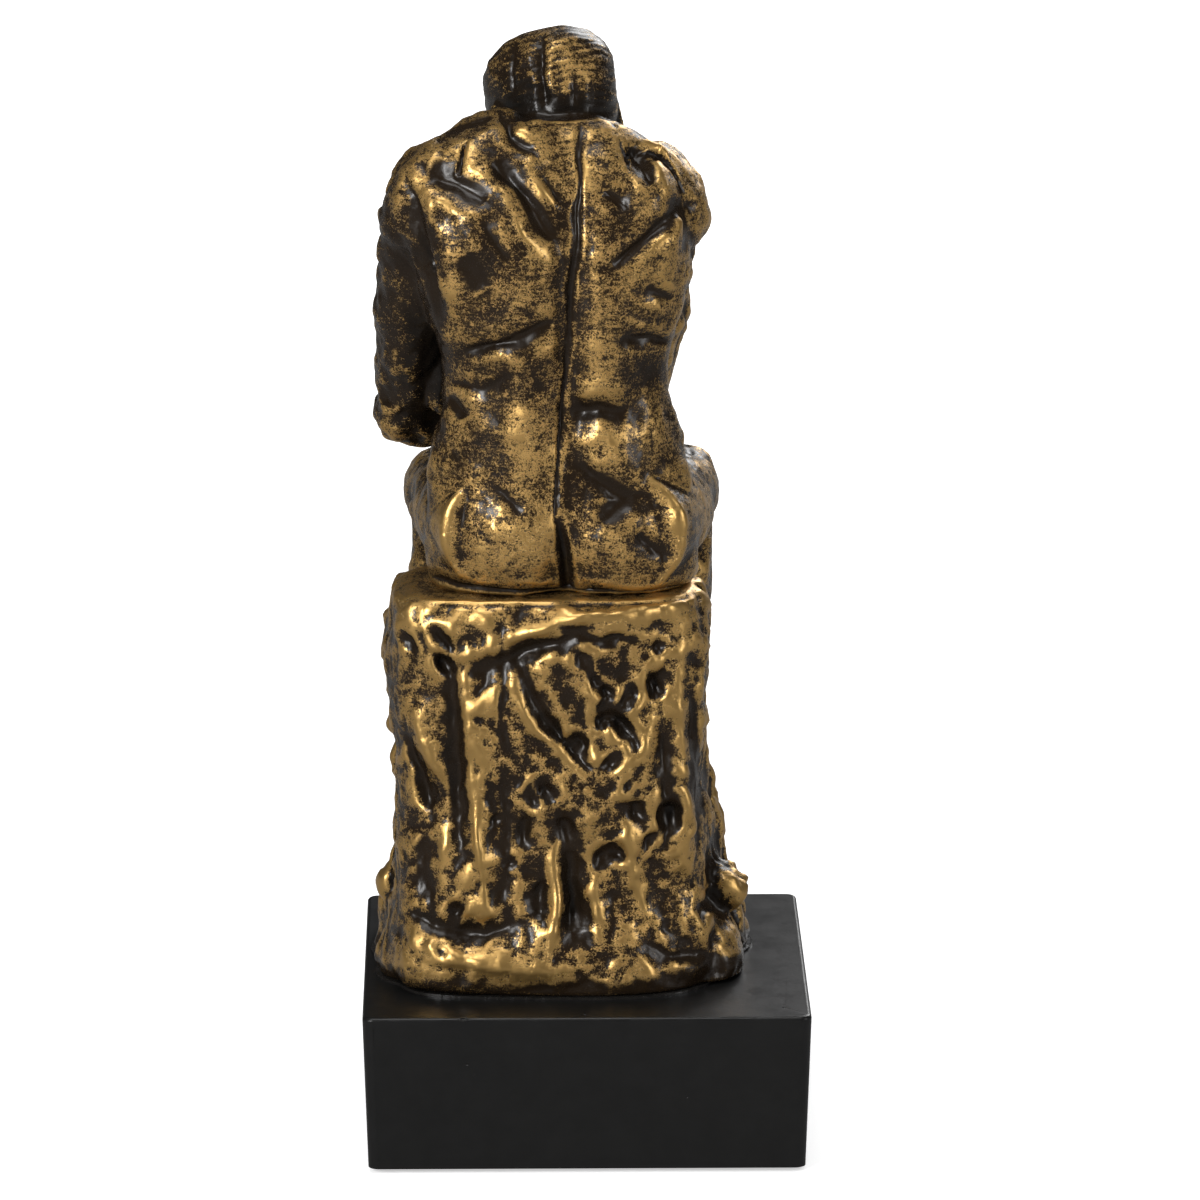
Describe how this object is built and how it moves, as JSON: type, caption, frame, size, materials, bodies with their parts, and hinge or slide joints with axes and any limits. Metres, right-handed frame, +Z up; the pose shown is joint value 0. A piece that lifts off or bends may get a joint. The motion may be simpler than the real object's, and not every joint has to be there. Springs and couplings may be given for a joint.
{
  "type": "seated thinker statue",
  "caption": "Antique gold statue of a seated man deep in thought, chin on hand, on a rough rock and a square black plinth.",
  "frame": {"origin": "centre of the underside, on the surface that the felt feet stand on", "axes": "+Z up, the figure faces -Y, the figure's left is +X"},
  "size_m": [0.104, 0.104, 0.2591],
  "materials": {
    "gold_rubbed_resin": "cast resin, black base coat, rubbed with antique gold",
    "black_lacquer": "satin black lacquer on cast resin",
    "felt": "black pressed felt",
    "hardboard": "brown hardboard",
    "zinc_steel": "zinc plated",
    "pin_steel": "drawn steel rod",
    "brass_insert": "turned brass",
    "epoxy": "black epoxy squeeze-out"
  },
  "bodies": {
    "root": {"felt_feet": "felt", "plinth": "black_lacquer", "base_board": "hardboard", "base_board_screws": "zinc_steel", "fixing_screws": "zinc_steel", "fixing_washers": "zinc_steel", "rock_inserts": "brass_insert", "glue_bed": "epoxy", "rock": "gold_rubbed_resin", "torso": "gold_rubbed_resin", "head": "gold_rubbed_resin", "left_leg": "gold_rubbed_resin", "right_leg": "gold_rubbed_resin", "left_arm": "gold_rubbed_resin", "right_arm": "gold_rubbed_resin", "lap_cloth": "gold_rubbed_resin", "seat_pins": "pin_steel", "hip_pins": "pin_steel", "shoulder_pins": "pin_steel", "neck_pin": "pin_steel", "foot_pins": "pin_steel"}
  },
  "joints": []
}
